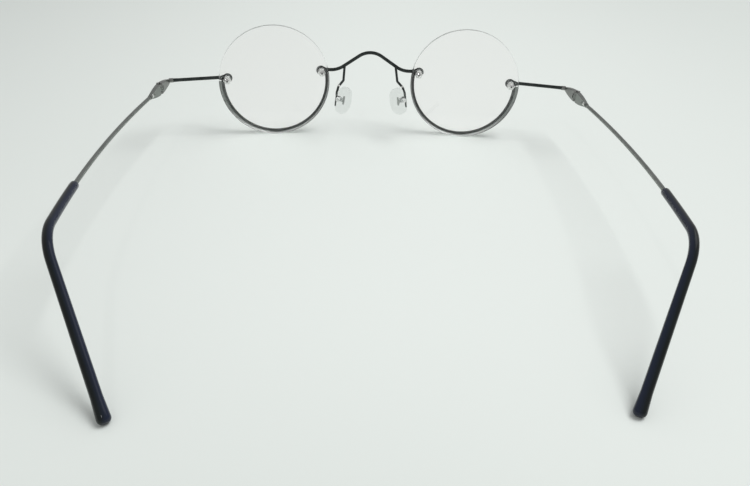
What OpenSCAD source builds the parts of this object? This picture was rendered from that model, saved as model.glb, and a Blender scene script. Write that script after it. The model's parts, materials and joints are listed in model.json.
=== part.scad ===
// Semi-rimless reading glasses with two round drilled lenses, wire front, leaf hinges and sleeved temples.
// X runs to the wearer's left, Y back to the ears and Z up. The glasses stand open on a table at Z = 0,
// on the lower edges of the lenses and on the two temple tips.

/* [Lenses] */
// Diameter of each round lens
lens_d = 36; // [34:0.5:38]
// Gap between the two lenses over the nose
lens_gap = 27; // [26:0.5:29]
// Thickness of a lens at its ground edge
lens_edge = 1.6; // [1.4:0.1:2.2]
// Radius of the front surface
front_r = 90; // [80:1:110]
// Radius of the back surface
back_r = 125; // [110:1:160]
// Angle by which the temple side of each lens is turned back
wrap = 5.5; // [3:0.5:7]

/* [Lens fixings] */
// Distance of the nose side hole's centre from the lens edge
nose_hole_in = 2.3; // [2.3:0.1:3]
// Distance of the temple side hole's centre from the lens edge
temple_hole_in = 2.7; // [2.3:0.1:3]
// Height of the nose side hole above the lens centre
nose_hole_up = 3.1; // [2:0.1:4]
// Height of the temple side hole above the lens centre
temple_hole_up = 0.7; // [0:0.1:2]
// Diameter of the lens screws
lens_screw_d = 1.2; // [1:0.05:1.3]
// Diameter of a lens screw's head
lens_head_d = 2; // [1.8:0.1:2.2]
// Height of a lens screw's head
lens_head_h = 0.5; // [0.4:0.05:0.7]
// Wall of the clear bushing in each lens hole
bushing_wall = 0.3; // [0.2:0.05:0.4]
// Diameter of the clear washers
washer_d = 2.5; // [2.3:0.1:2.6]
// Least thickness of a front washer
front_washer_t = 0.15; // [0.1:0.05:0.4]
// Least thickness of a back washer
back_washer_t = 0.3; // [0.2:0.05:0.6]
// Width across the flats of the cap nuts
nut_af = 2.2; // [2:0.1:2.4]
// Height of the cap nuts
nut_h = 2.1; // [1.6:0.1:2.6]
// Outer diameter of the wire eyelets
eyelet_d = 3.1; // [2.9:0.1:3.4]
// Thickness of the wire eyelets
eyelet_t = 0.75; // [0.6:0.05:0.9]

/* [Front wires] */
// Diameter of the bridge and endpiece wire
front_wire_d = 1.1; // [1:0.05:1.3]
// Diameter of the half rim wire
rim_wire_d = 0.95; // [0.8:0.05:1]
// How far the half rim's centre line lies inside the lens edge
rim_in = 0.95; // [0.8:0.05:1.2]
// How far the half rim's circle sits below the lens centre
rim_drop = 0.3; // [0.2:0.05:0.4]
// How far the half rim's circle sits nearer to the nose than the lens
rim_shift = 0.25; // [0:0.05:0.3]
// Height of the bridge's top above its ends
bridge_rise = 5.9; // [5:0.1:7.5]
// Radius of the bend over the nose
bridge_top_r = 6.65; // [5.5:0.05:7]
// Radius of the bends at the bridge's ends
bridge_end_r = 7.5; // [6:0.1:8]
// Straight length at each end of the bridge
bridge_flat = 0.8; // [0.5:0.1:1.5]
// Length of each endpiece from the lens edge to the hinge
endpiece_l = 16.2; // [14.2:0.2:18.2]
// How far each endpiece drops along that length
endpiece_drop = 0.9; // [0:0.1:1.5]

/* [Nose pads] */
// Distance from the centre plane to where a pad arm leaves the bridge
arm_x = 8.5; // [8:0.1:8.8]
// Diameter of the pad arm wire
arm_d = 0.8; // [0.7:0.05:0.9]
// Distance from the centre plane to a pad screw
pad_x = 10.1; // [9.7:0.1:10.5]
// Distance of the pad screws behind the lens centres
pad_back = 7.2; // [6.6:0.1:7.6]
// Distance of the pad screws below the lens centres
pad_down = 3.4; // [3:0.1:4.2]
// Angle by which the pads open towards the face
pad_splay = 38; // [30:1:42]
// Angle by which the pads open downwards
pad_flare = 7; // [4:1:12]
// Length of a nose pad
pad_l = 8.7; // [8:0.1:10]
// Width of a nose pad
pad_w = 6.8; // [6:0.1:7]
// Thickness of a nose pad
pad_t = 2.7; // [2.4:0.1:3]
// Diameter of the pad screws
pad_screw_d = 0.8; // [0.7:0.05:0.9]

/* [Hinges] */
// Length of the front leaf, from the endpiece to the hinge pin
front_leaf_l = 9.3; // [8.5:0.1:11]
// Length of the rear leaf, from the hinge pin to its end
rear_leaf_l = 8.9; // [8.5:0.1:11]
// Height of the leaves at the hinge pin
leaf_h = 3.4; // [3.2:0.1:4]
// Thickness of the leaves at the hinge pin
leaf_t = 1.5; // [1.3:0.1:1.9]
// Thickness of the leaves at their ends
leaf_end_t = 0.9; // [0.7:0.1:1.1]
// Diameter of the hinge barrel
barrel_d = 2.1; // [2:0.1:2.3]
// Height of the hinge barrel
barrel_h = 2.9; // [2.8:0.1:3.1]
// Gap in front of the middle knuckle, at the bottom of its slot
slot_gap = 0.5; // [0.3:0.05:0.8]
// Height of the middle knuckle, which turns with the temple
knuckle_h = 1.3; // [1.1:0.1:1.5]
// Diameter of the hinge screw
hinge_screw_d = 1.1; // [1:0.05:1.2]
// Outward angle of an open temple at the hinge
open_angle = 6.1; // [4:0.1:9]

/* [Temples] */
// Diameter of the temple wire
temple_wire_d = 1.1; // [1:0.05:1.2]
// Length of a temple from the hinge pin to the ear bend
temple_l = 97.6; // [92:0.1:104]
// Angle through which the temple bows inwards along that length
bow_angle = 10.6; // [8:0.1:12]
// Angle of the ear bend
ear_angle = 43.8; // [38:0.1:50]
// Direction of the ear bend, from straight down towards the head
ear_inward = 30.8; // [22:0.1:36]
// Radius of the ear bend
ear_r = 14.8; // [13:0.1:18]
// Length from the ear bend to the tip
ear_l = 38; // [36:0.1:41]
// Distance along the wire from the hinge pin to the sleeve
sleeve_start = 73.5; // [68:0.5:78]
// Diameter of the sleeve at its mouth
sleeve_d = 2.1; // [2:0.05:2.4]
// Diameter of the sleeve before its tip
sleeve_end_d = 2.3; // [2.2:0.05:2.5]
// Diameter of the rounded tip
tip_d = 2.7; // [2.55:0.05:3.1]
// Length of the wire that the sleeve leaves free at the tip
core_short = 6; // [4:0.5:10]

/* [Pose] */
// How far the left temple is folded in from its open stop
left_fold = 0; // [0:0.1:80]
// How far the right temple is folded in from its open stop
right_fold = 3; // [0:0.1:80]

/* [Hidden] */

// Clearances: brazed or pushed together, turning on a pin, and between faces that move past each other
seat_gap = 0.01;
pin_gap = 0.04;
face_gap = 0.06;
// The half rim stands this far in front of the lens
rim_gap = 0.1;
reach = 20;
// Each bend is joined on by a ball that stands this far proud of the wire
joint_swell = 0.01;

round_fn = 48;
wire_fn = 32;
broad_fn = 256;
$fn = round_fn;

steel = [0.70, 0.71, 0.72];
titanium = [0.42, 0.43, 0.43];
gunmetal = [0.11, 0.12, 0.13];
plastic = [0.06, 0.07, 0.13];
silicone = [0.88, 0.91, 0.92, 0.6];
glass = [0.85, 0.91, 0.92, 0.35];

// Lens geometry in the lens's own frame: X to the temple, Y back, centre of the edge at the origin
lens_r = lens_d / 2;
lens_x = (lens_gap + lens_d) / 2;
front_centre = -lens_edge / 2 + sqrt(front_r * front_r - lens_r * lens_r);
back_centre = lens_edge / 2 + sqrt(back_r * back_r - lens_r * lens_r);
function front_y(r) = front_centre - sqrt(front_r * front_r - r * r);
function back_y(r) = back_centre - sqrt(back_r * back_r - r * r);

// Fixings, front to back
function hole_at(way, in, up) = [way * sqrt(pow(lens_r - in, 2) - up * up), 0, up];
function front_slope(r) = asin(r / front_r);
function back_slope(r) = asin(r / back_r);
nose_hole = hole_at(-1, nose_hole_in, nose_hole_up);
temple_hole = hole_at(1, temple_hole_in, temple_hole_up);
inner_hole_r = lens_r - max(nose_hole_in, temple_hole_in);
outer_hole_r = lens_r - min(nose_hole_in, temple_hole_in);
hole_bore = lens_screw_d + 2 * seat_gap;
bushing_d = hole_bore + 2 * bushing_wall;
eyelet_back = front_y(inner_hole_r) - tan(front_slope(inner_hole_r)) * washer_d / 2 - front_washer_t;
eyelet_front = eyelet_back - eyelet_t;
eyelet_y = (eyelet_back + eyelet_front) / 2;
nut_front = back_y(outer_hole_r) + tan(back_slope(outer_hole_r)) * washer_d / 2 + back_washer_t;
screw_end = nut_front + 0.7 * nut_h;
neck_end = lens_r - 0.1;
web_t = 0.6;
web_w = eyelet_d - 0.9;

// Half rim, a circle a little below the lens centre
rim_r = lens_r - rim_in;
rim_y = front_y(rim_r - rim_shift) - rim_wire_d / 2 - rim_gap;
rim_nose_angle = asin((nose_hole_up + rim_drop) / rim_r);
rim_temple_angle = asin((temple_hole_up + rim_drop) / rim_r);

function lens_to_frame(p) = [
    lens_x + p[0] * cos(wrap) - p[1] * sin(wrap),
    p[0] * sin(wrap) + p[1] * cos(wrap),
    p[2]
];

// Bridge: flat ends, two bends and a straight slope between them
bridge_end = lens_to_frame([-neck_end, eyelet_y, nose_hole_up]);
bridge_top = bridge_end[2] + bridge_rise;
bend_sum = bridge_top_r + bridge_end_r;
slope_run = bridge_end[0] - bridge_flat;
slope_l = sqrt(pow(bridge_rise - bend_sum, 2) + slope_run * slope_run - bend_sum * bend_sum);
slope = asin(slope_run / norm([bend_sum, slope_l])) - atan2(slope_l, bend_sum);
bridge_low = slope_run - bridge_end_r * tan(slope / 2);
bridge_peak = bridge_top - bridge_top_r + bridge_top_r / cos(slope);
function on_slope(x) = [x, bridge_end[1], bridge_peak - x * tan(slope)];

// Nose pad frame: origin on the pad screw, -X to the nose, Y across the pad, Z along the pad
pad_screw_at = [pad_x, pad_back, -pad_down];
function turn_y(v, a) = [v[0] * cos(a) + v[2] * sin(a), v[1], -v[0] * sin(a) + v[2] * cos(a)];
function turn_z(v, a) = [v[0] * cos(a) - v[1] * sin(a), v[0] * sin(a) + v[1] * cos(a), v[2]];
ear_t = 0.45;
tab_w = 1;
ear_in = tab_w / 2 + face_gap;
ear_out = ear_in + ear_t;
tab_r = 0.65;
plate_x = 0.9;
plate_t = 0.5;
plate_top = 1.9;
plate_h = 4.4;
plate_mid = -(plate_x + plate_t / 2) * tan(pad_splay);
plate_half = ear_out / cos(pad_splay);
function plate_to_frame(p) = pad_screw_at + turn_y(p, -pad_flare);
pad_back_x = -0.75;
pad_edge_r = 0.8;
core_x = -1.6;
core_t = 0.4;
core_h = 2.7;
core_w = 0.6;
stem_h = 1.1;

// Hinge frame: origin on the pin's axis, Y along the leaf to the ear, X outwards
endpiece_dir = unit([sqrt(endpiece_l * endpiece_l - endpiece_drop * endpiece_drop), 0, -endpiece_drop]);
endpiece_start = [neck_end, eyelet_y, temple_hole_up];
endpiece_end = endpiece_start + (endpiece_l - leaf_end_t / 2) * endpiece_dir;
corner = lens_to_frame(endpiece_start + endpiece_l * endpiece_dir);
pin = corner - turn_z([0, -front_leaf_l, 0], -open_angle);
leaf_over = 0.8;
leaf_half = max(front_leaf_l, rear_leaf_l) + 1.3;
side_r = (leaf_half * leaf_half + leaf_h * leaf_h / 4) / leaf_h;
collar_d = 1.4;
collar_l = 1;
notch_r = 0.35;
hinge_head_d = 1.9;
hinge_head_h = 0.45;
head_slot = 0.3;
socket_l = 1.8;

// Temple path in the hinge frame
bow_y = rear_leaf_l + 0.6;
ear_cut = ear_r * tan(ear_angle / 2);
bow_l = temple_l - bow_y - ear_cut;
bow_r = bow_l * 180 / (PI * bow_angle);
bow_dir = [-sin(bow_angle), cos(bow_angle), 0];
bend_side = sin(ear_inward) * [-cos(bow_angle), -sin(bow_angle), 0] - cos(ear_inward) * [0, 0, 1];
ear_dir = cos(ear_angle) * bow_dir + sin(ear_angle) * bend_side;
bow_cut = bow_r * tan(bow_angle / 2);
bow_point = [0, bow_y + bow_cut, 0];
ear_point = bow_point + (bow_cut + ear_cut) * bow_dir;
tip = ear_point + ear_l * ear_dir;
core_end = tip - core_short * ear_dir;
sleeve_turn = bow_angle * (sleeve_start - bow_y) / bow_l;
sleeve_mouth = [bow_r * cos(sleeve_turn) - bow_r, bow_y + bow_r * sin(sleeve_turn), 0];
sleeve_dir = [-sin(sleeve_turn), cos(sleeve_turn), 0];
sleeve_point = sleeve_mouth + bow_r * tan((bow_angle - sleeve_turn) / 2) * sleeve_dir;
bend_end = ear_point + ear_cut * ear_dir;
tip_cone = 4;

// Standing: the frame leans back until the lens edges and the tips share one table
function tip_in_frame(fold) = pin + turn_z(tip, fold - open_angle);
lens_foot = lens_to_frame([0, -lens_edge / 2, -lens_r]);
low_tip = tip_in_frame(right_fold);
tip_span = [low_tip[1] - lens_foot[1], low_tip[2] - lens_foot[2]];
tilt = asin(tip_d / 2 / norm(tip_span)) - atan2(tip_span[1], tip_span[0]);
lift = -lens_foot[1] * sin(tilt) - lens_foot[2] * cos(tilt);
front_most = bridge_end[1] * cos(tilt) - bridge_top * sin(tilt) - front_wire_d / 2;
back_tip = tip_in_frame(left_fold);
depth_mid = (front_most + back_tip[1] * cos(tilt) - back_tip[2] * sin(tilt) + tip_d / 2) / 2;

// The widest point of a temple's bow, on the bare wire or at the sleeve's mouth
function widest(fold) = pin[0] + turn_z([-bow_r, bow_y, 0], fold - open_angle)[0]
    + max(bow_r + temple_wire_d / 2, bow_r * cos(sleeve_turn + fold - open_angle) + sleeve_d / 2);
width_mid = (widest(left_fold) - widest(right_fold)) / 2;

function unit(v) = v / norm(v);

// Stands what is drawn along Z at a point, in a direction
module along(p, dir) translate(p)
    rotate([0, acos(dir[2] / norm(dir)), atan2(dir[1], dir[0])]) children();

// A cylinder from one point to another
module rod(a, b, d) along(a, b - a) cylinder(h = norm(b - a), d = d, $fn = wire_fn);

// The ball that joins a bend to the straight wire beside it
module joint_ball(p, dir, d) along(p, dir) rotate(40) sphere(d = d + 2 * joint_swell, $fn = wire_fn);

// A piece of bent round wire, from p in direction t0, round to direction t1
module wire_bend(p, t0, t1, r, d) {
    n = unit(t1 - (t1 * t0) * t0);
    k = cross(-n, t0);
    o = p + r * n;
    angle = acos(t0 * t1);
    multmatrix([
        [-n[0], t0[0], k[0], o[0]],
        [-n[1], t0[1], k[1], o[1]],
        [-n[2], t0[2], k[2], o[2]],
        [0, 0, 0, 1]
    ])
        rotate_extrude(angle = angle, $fn = max(96, round(r * 3)))
            translate([r, 0]) circle(d = d, $fn = wire_fn);
}

// Round wire through a list of points, with a bend of radius r[i - 1] at point i
module bent_wire(p, r, d) {
    last = len(p) - 1;
    dir = [for (i = [0 : last - 1]) unit(p[i + 1] - p[i])];
    cut = [for (i = [0 : last])
        i == 0 || i == last ? 0 : r[i - 1] * tan(acos(dir[i - 1] * dir[i]) / 2)];
    for (i = [0 : last - 1]) {
        a = p[i] + cut[i] * dir[i];
        b = p[i + 1] - cut[i + 1] * dir[i];
        if (norm(b - a) > 0.001) rod(a, b, d);
    }
    for (i = [1 : last - 1]) {
        a = p[i] - cut[i] * dir[i - 1];
        b = p[i] + cut[i] * dir[i];
        wire_bend(a, dir[i - 1], dir[i], r[i - 1], d);
        joint_ball(a, dir[i - 1], d);
        joint_ball(b, dir[i], d);
    }
}

// The front as it stands on the table, the wearer's left half being drawn and the right half mirrored
module standing() translate([-width_mid, -depth_mid, lift]) rotate([tilt, 0, 0]) children();
module side(s) standing() mirror([s == "left" ? 0 : 1, 0, 0]) children();
module at_lens() translate([lens_x, 0, 0]) rotate([0, 0, wrap]) children();
module at_pad() translate(pad_screw_at) rotate([0, -pad_flare, 0]) rotate([0, 0, -pad_splay]) children();
module at_pin(fold = 0) translate(pin) rotate([0, 0, fold - open_angle]) children();
module at_holes() for (h = [nose_hole, temple_hole]) translate(h) children();
function fold_of(s) = s == "left" ? left_fold : right_fold;

// A cylinder along Y from y0 to y1
module spool(y0, y1, d, fn = round_fn) translate([0, y0, 0]) rotate([-90, 0, 0])
    cylinder(h = y1 - y0, d = d, $fn = fn);

module front_ball() translate([0, front_centre, 0]) sphere(r = front_r, $fn = broad_fn);
module back_ball() translate([0, back_centre, 0]) sphere(r = back_r, $fn = broad_fn);

module lens(s) color(glass) side(s) at_lens() difference() {
    intersection() {
        spool(-lens_r / 2, lens_r / 2, lens_d, broad_fn);
        front_ball();
    }
    back_ball();
    at_holes() spool(-reach, reach, bushing_d + 2 * seat_gap);
}

// The side of a lens surface at a hole: way -1 is all that lies in front of it, 1 all that lies behind
module beyond(h, y, slope, way) translate([h[0], y, h[2]])
    rotate([0, -atan2(h[2], h[0]), 0]) rotate([0, 0, slope])
        translate([-reach, way < 0 ? -2 * reach : 0, -reach]) cube(2 * reach);
module before_front(h) beyond(h, front_y(norm(h)) + seat_gap, front_slope(norm(h)), -1);
module behind_front(h) beyond(h, front_y(norm(h)), front_slope(norm(h)), 1);
module before_back(h) beyond(h, back_y(norm(h)) + seat_gap, back_slope(norm(h)), -1);
module behind_back(h) beyond(h, back_y(norm(h)), back_slope(norm(h)), 1);

module bushings(s) color(silicone) side(s) at_lens() for (h = [nose_hole, temple_hole]) difference() {
    translate(h) spool(eyelet_back, nut_front, bushing_d);
    before_front(h);
    behind_back(h);
    translate(h) spool(-reach, reach, hole_bore);
}

module front_washers(s) color(silicone) side(s) at_lens() for (h = [nose_hole, temple_hole]) difference() {
    translate(h) spool(eyelet_back, 0, washer_d);
    behind_front(h);
    translate(h) spool(-reach, reach, hole_bore);
}

module back_washers(s) color(silicone) side(s) at_lens() for (h = [nose_hole, temple_hole]) difference() {
    translate(h) spool(-lens_edge, nut_front, washer_d);
    before_back(h);
    translate(h) spool(-reach, reach, hole_bore);
}

module lens_screws(s) color(steel) side(s) at_lens() at_holes() difference() {
    union() {
        spool(eyelet_front - lens_head_h, eyelet_front, lens_head_d);
        spool(eyelet_front - 0.1, screw_end, lens_screw_d);
    }
    translate([-lens_head_d, eyelet_front - 2 * lens_head_h, -head_slot / 2])
        cube([2 * lens_head_d, 1.5 * lens_head_h, head_slot]);
}

// A hexagon nut under a domed cap, with a blind bore
module cap_nuts(s) color(steel) side(s) at_lens() at_holes() difference() {
    union() {
        translate([0, nut_front, 0]) rotate([-90, 0, 0])
            cylinder(h = 0.65 * nut_h, d = nut_af / cos(30), $fn = 6);
        intersection() {
            spool(nut_front, nut_front + nut_h, 0.9 * nut_af);
            translate([0, nut_front + nut_h - nut_af * 0.6, 0]) sphere(r = nut_af * 0.6);
        }
    }
    spool(nut_front - 0.1, screw_end + seat_gap, hole_bore);
}

// The braze that widens an eyelet's neck towards its loop
module eyelet_web(hole, way) translate([0, eyelet_y + web_t / 2, 0]) rotate([90, 0, 0])
    linear_extrude(height = web_t) polygon([
        [hole[0] + way * lens_head_d / 2, hole[2] - web_w / 2], [way * neck_end, hole[2] - front_wire_d / 2],
        [way * neck_end, hole[2] + front_wire_d / 2], [hole[0] + way * lens_head_d / 2, hole[2] + web_w / 2]
    ]);

// A flat loop of wire with a rounded rim, and the neck that runs out to the lens edge
module eyelet_form(hole, way) {
    translate([hole[0], eyelet_y, hole[2]]) rotate([90, 0, 0]) rotate_extrude() {
        translate([hole_bore / 2, -eyelet_t / 2]) square([(eyelet_d - eyelet_t - hole_bore) / 2, eyelet_t]);
        translate([(eyelet_d - eyelet_t) / 2, 0]) circle(d = eyelet_t, $fn = wire_fn);
    }
    rod([hole[0] + way * 1.3, eyelet_y, hole[2]], [way * neck_end, eyelet_y, hole[2]], front_wire_d);
    eyelet_web(hole, way);
}

module eyelet(s, hole, way) color(gunmetal) side(s) at_lens() difference() {
    eyelet_form(hole, way);
    translate(hole) spool(-reach, reach, hole_bore);
    translate(hole) spool(eyelet_front - reach, eyelet_front, lens_head_d + 2 * seat_gap);
    translate(hole) spool(eyelet_back, eyelet_back + reach, washer_d + 2 * seat_gap);
}

// The wire along the lower front of a lens, cut to both eyelets and their washers
module half_rim(s) color(gunmetal) side(s) at_lens() difference() {
    translate([-rim_shift, rim_y, -rim_drop]) rotate([90, 0, 0])
        rotate([0, 0, 180 - rim_nose_angle])
            rotate_extrude(angle = 180 + rim_nose_angle + rim_temple_angle, $fn = 192)
                translate([rim_r, 0]) circle(d = rim_wire_d, $fn = wire_fn);
    eyelet_form(nose_hole, -1);
    eyelet_form(temple_hole, 1);
    at_holes() spool(eyelet_back, 0, washer_d + 2 * seat_gap);
    for (way = [-1, 1]) translate([0, 0, way < 0 ? nose_hole_up : temple_hole_up])
        translate([way < 0 ? -reach : 0, -reach, 0]) cube([reach, 2 * reach, reach]);
}

// The bridge in its own upright plane
module bridge_wire() {
    x = bridge_end[0] + front_wire_d / 2;
    y = bridge_end[1];
    low = bridge_end[2];
    bent_wire([[x, y, low], [bridge_low, y, low], [0, y, bridge_peak], [-bridge_low, y, low], [-x, y, low]],
        [bridge_end_r, bridge_top_r, bridge_end_r], front_wire_d);
}

module bridge() color(gunmetal) standing() difference() {
    bridge_wire();
    for (way = [0, 1]) mirror([way, 0, 0]) at_lens()
        translate([-neck_end, eyelet_y - front_wire_d, nose_hole_up - front_wire_d])
            cube([front_wire_d, 2 * front_wire_d, 2 * front_wire_d]);
}

module endpiece(s) color(gunmetal) side(s) at_lens() difference() {
    rod(endpiece_start - 0.5 * endpiece_dir, endpiece_end, front_wire_d);
    translate([neck_end - reach, -reach, -reach]) cube([reach, 2 * reach, 2 * reach]);
}

// One ear of the pad screw, from the plate to the screw
module pad_ear(way) {
    middle = way * (ear_in + ear_t / 2);
    l = (plate_x + plate_t / 2 - middle * sin(pad_splay)) / cos(pad_splay);
    translate([0, middle, 0]) {
        rotate([90, 0, 0]) cylinder(h = ear_t, r = tab_r, center = true);
        translate([0, -ear_t / 2, -tab_r]) cube([l, ear_t, 2 * tab_r]);
    }
}

// A bent wire from the bridge to an upright plate with two ears, which hold the pad screw
module pad_arm(s) {
    top = on_slope(arm_x);
    knee = [arm_x + 0.4, 1, 0.9];
    hip = [pad_x + 0.4, pad_back - 3.4, 3.15 - pad_down];
    plate_end = plate_to_frame([plate_x + plate_t / 2, plate_mid, plate_top]);
    plate_core = plate_to_frame([plate_x + plate_t / 2, plate_mid, plate_top - 1]);
    color(gunmetal) side(s) difference() {
        union() {
            bent_wire([top, knee, hip, plate_end, plate_core], [1.2, 1.2, 0.5], arm_d);
            translate(pad_screw_at) rotate([0, -pad_flare, 0])
                translate([plate_x, plate_mid - plate_half, plate_top - plate_h])
                    cube([plate_t, 2 * plate_half, plate_h]);
            at_pad() {
                pad_ear(-1);
                pad_ear(1);
            }
        }
        rod(on_slope(arm_x - front_wire_d), on_slope(arm_x + front_wire_d), front_wire_d + 2 * seat_gap);
        at_pad() rotate([90, 0, 0])
            cylinder(h = 2 * ear_out + 1, d = pad_screw_d + 2 * seat_gap, center = true);
    }
}

module pad_screw(s) color(steel) side(s) at_pad() difference() {
    union() {
        rotate([90, 0, 0]) cylinder(h = 2 * ear_out, d = pad_screw_d, center = true);
        translate([0, ear_out + 0.2, 0]) rotate([90, 0, 0]) cylinder(h = 0.4, d = 1.3, center = true);
    }
    translate([0, ear_out + 0.4, 0]) cube([3, 0.4, 0.25], center = true);
}

// The metal insert: a tab on the screw, a stem and a small plate inside the pad
module pad_core_form(grow) {
    rotate([90, 0, 0]) cylinder(h = tab_w + 2 * grow, r = tab_r + grow, center = true);
    translate([core_x, -tab_w / 2 - grow, -stem_h / 2 - grow])
        cube([-core_x, tab_w + 2 * grow, stem_h + 2 * grow]);
    translate([core_x - core_t / 2 - grow, -core_w / 2 - grow, -core_h / 2 - grow])
        cube([core_t + 2 * grow, core_w + 2 * grow, core_h + 2 * grow]);
}

module pad_core(s) color(titanium) side(s) at_pad() difference() {
    pad_core_form(0);
    rotate([90, 0, 0]) cylinder(h = reach, d = pad_screw_d + 2 * pin_gap, center = true);
}

// The section of a pad from its middle line out, flat behind and crowned in front
module pad_section() {
    r = pad_w / 2;
    square([r - pad_edge_r, pad_t * 0.72]);
    square([r, pad_t * 0.5 - 0.1]);
    translate([r - pad_edge_r, pad_t * 0.72 - pad_edge_r]) circle(r = pad_edge_r);
    intersection() {
        square([r - pad_edge_r, pad_t]);
        translate([0, pad_t - 6]) circle(r = 6, $fn = 96);
    }
}

// An oval silicone pad round its metal insert
module nose_pad(s) {
    straight = pad_l - pad_w;
    color(silicone) side(s) at_pad() difference() {
        translate([pad_back_x, 0, 0]) rotate([0, -90, 0]) {
            for (way = [0, 180]) rotate([0, 0, way]) translate([straight / 2, 0, 0])
                rotate([0, 0, -90]) rotate_extrude(angle = 180, $fn = 96) pad_section();
            rotate([90, 0, 90]) linear_extrude(height = straight, center = true) {
                pad_section();
                mirror([1, 0, 0]) pad_section();
            }
        }
        pad_core_form(seat_gap);
    }
}

// The round top or bottom edge of a leaf
module leaf_arc(way) translate([0, 0, way * (side_r - leaf_h / 2)])
    rotate([0, 90, 0]) cylinder(h = reach, r = side_r, center = true, $fn = broad_fn);

// Both leaves in one: an almond seen from the side, and seen from above thicker at the pin
module leaf_blank() difference() {
    intersection() {
        leaf_arc(-1);
        leaf_arc(1);
        linear_extrude(height = reach, center = true) polygon([
            [-leaf_end_t / 2, -leaf_half], [leaf_end_t / 2, -leaf_half],
            [leaf_t / 2, 0], [leaf_end_t / 2, leaf_half],
            [-leaf_end_t / 2, leaf_half], [-leaf_t / 2, 0]
        ]);
    }
    for (way = [-1, 1]) translate([0, 0, way * leaf_h / 2])
        rotate([0, 90, 0]) cylinder(h = reach, r = notch_r, center = true);
}

// The endpiece's half of the hinge: two knuckles, and a collar for the endpiece wire
module front_leaf(s) {
    mouth = endpiece_end - collar_l * endpiece_dir;
    color(titanium) side(s) difference() {
        union() {
            at_pin() intersection() {
                leaf_blank();
                translate([-reach, -front_leaf_l - leaf_over, -reach])
                    cube([2 * reach, front_leaf_l + leaf_over, 2 * reach]);
            }
            at_pin() cylinder(h = barrel_h, d = barrel_d, center = true);
            at_lens() rod(mouth, mouth + (collar_l + leaf_end_t / 2) * endpiece_dir, collar_d);
        }
        at_pin() {
            translate([-reach, -barrel_d / 2 - slot_gap, -knuckle_h / 2 - face_gap])
                cube([2 * reach, reach, knuckle_h + 2 * face_gap]);
            cylinder(h = reach, d = hinge_screw_d + 2 * seat_gap, center = true);
            translate([0, 0, barrel_h / 2]) cylinder(h = reach, d = hinge_head_d + 2 * seat_gap);
        }
        at_lens() rod(mouth - endpiece_dir, endpiece_end + seat_gap * endpiece_dir, front_wire_d + 2 * seat_gap);
    }
}

module hinge_screw(s) color(steel) side(s) at_pin() difference() {
    union() {
        cylinder(h = barrel_h, d = hinge_screw_d, center = true);
        translate([0, 0, barrel_h / 2]) cylinder(h = hinge_head_h, d = hinge_head_d);
    }
    translate([0, 0, barrel_h / 2 + hinge_head_h]) cube([hinge_head_d + 1, head_slot, 0.4], center = true);
}

// The temple's half of the hinge: one knuckle, a weld bead and a socket for the temple wire
module rear_leaf(s) color(titanium) side(s) at_pin(fold_of(s)) difference() {
    union() {
        intersection() {
            leaf_blank();
            translate([-reach, 0, -reach]) cube([2 * reach, rear_leaf_l, 2 * reach]);
        }
        cylinder(h = knuckle_h, d = barrel_d, center = true);
        rod([0, rear_leaf_l - socket_l, 0], [0, bow_y - 0.2, 0], collar_d);
        translate([0.35 - leaf_t / 2, rear_leaf_l - socket_l - 0.9, 0]) sphere(d = 0.9);
    }
    for (way = [-1, 1]) translate([-reach, -reach, way < 0 ? -knuckle_h / 2 - reach : knuckle_h / 2])
        cube([2 * reach, reach + barrel_d / 2 + face_gap, reach]);
    cylinder(h = reach, d = hinge_screw_d + 2 * pin_gap, center = true);
    rod([0, bow_y - 0.2 - socket_l, 0], [0, bow_y + 1, 0], temple_wire_d + 2 * seat_gap);
}

module temple_wire(s) color(titanium) side(s) at_pin(fold_of(s))
    bent_wire([[0, bow_y - 0.2 - socket_l, 0], bow_point, ear_point, core_end],
        [bow_r, ear_r], temple_wire_d);

// The glossy sleeve, bent with the wire and thicker at its rounded tip
module temple_sleeve(s) {
    l = norm(tip - bend_end);
    color(plastic) side(s) at_pin(fold_of(s)) difference() {
        union() {
            bent_wire([sleeve_mouth, sleeve_point, ear_point, bend_end], [bow_r, ear_r], sleeve_d);
            along(bend_end, ear_dir) rotate_extrude($fn = wire_fn) polygon([
                [0, 0], [sleeve_d / 2, 0], [sleeve_end_d / 2, l - tip_cone], [tip_d / 2 - joint_swell, l], [0, l]
            ]);
            along(tip, ear_dir) sphere(d = tip_d, $fn = wire_fn);
        }
        bent_wire([bow_point - bow_cut * [0, 1, 0], bow_point, ear_point, core_end + seat_gap * ear_dir],
            [bow_r, ear_r], temple_wire_d + 2 * seat_gap);
    }
}

lens("left");  // left_lens
lens("right");  // right_lens
bridge();
half_rim("left");  // left_half_rim
half_rim("right");  // right_half_rim
endpiece("left");  // left_endpiece
endpiece("right");  // right_endpiece
eyelet("left", nose_hole, -1);  // left_nose_eyelet
eyelet("right", nose_hole, -1);  // right_nose_eyelet
eyelet("left", temple_hole, 1);  // left_temple_eyelet
eyelet("right", temple_hole, 1);  // right_temple_eyelet
lens_screws("left");  // left_lens_screws
lens_screws("right");  // right_lens_screws
bushings("left");  // left_bushings
bushings("right");  // right_bushings
front_washers("left");  // left_front_washers
front_washers("right");  // right_front_washers
back_washers("left");  // left_back_washers
back_washers("right");  // right_back_washers
cap_nuts("left");  // left_cap_nuts
cap_nuts("right");  // right_cap_nuts
pad_arm("left");  // left_pad_arm
pad_arm("right");  // right_pad_arm
pad_screw("left");  // left_pad_screw
pad_screw("right");  // right_pad_screw
nose_pad("left");  // left_nose_pad
nose_pad("right");  // right_nose_pad
pad_core("left");  // left_pad_core
pad_core("right");  // right_pad_core
front_leaf("left");  // left_front_leaf
front_leaf("right");  // right_front_leaf
hinge_screw("left");  // left_hinge_screw
hinge_screw("right");  // right_hinge_screw
rear_leaf("left");  // left_rear_leaf
rear_leaf("right");  // right_rear_leaf
temple_wire("left");  // left_temple_wire
temple_wire("right");  // right_temple_wire
temple_sleeve("left");  // left_temple_sleeve
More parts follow.
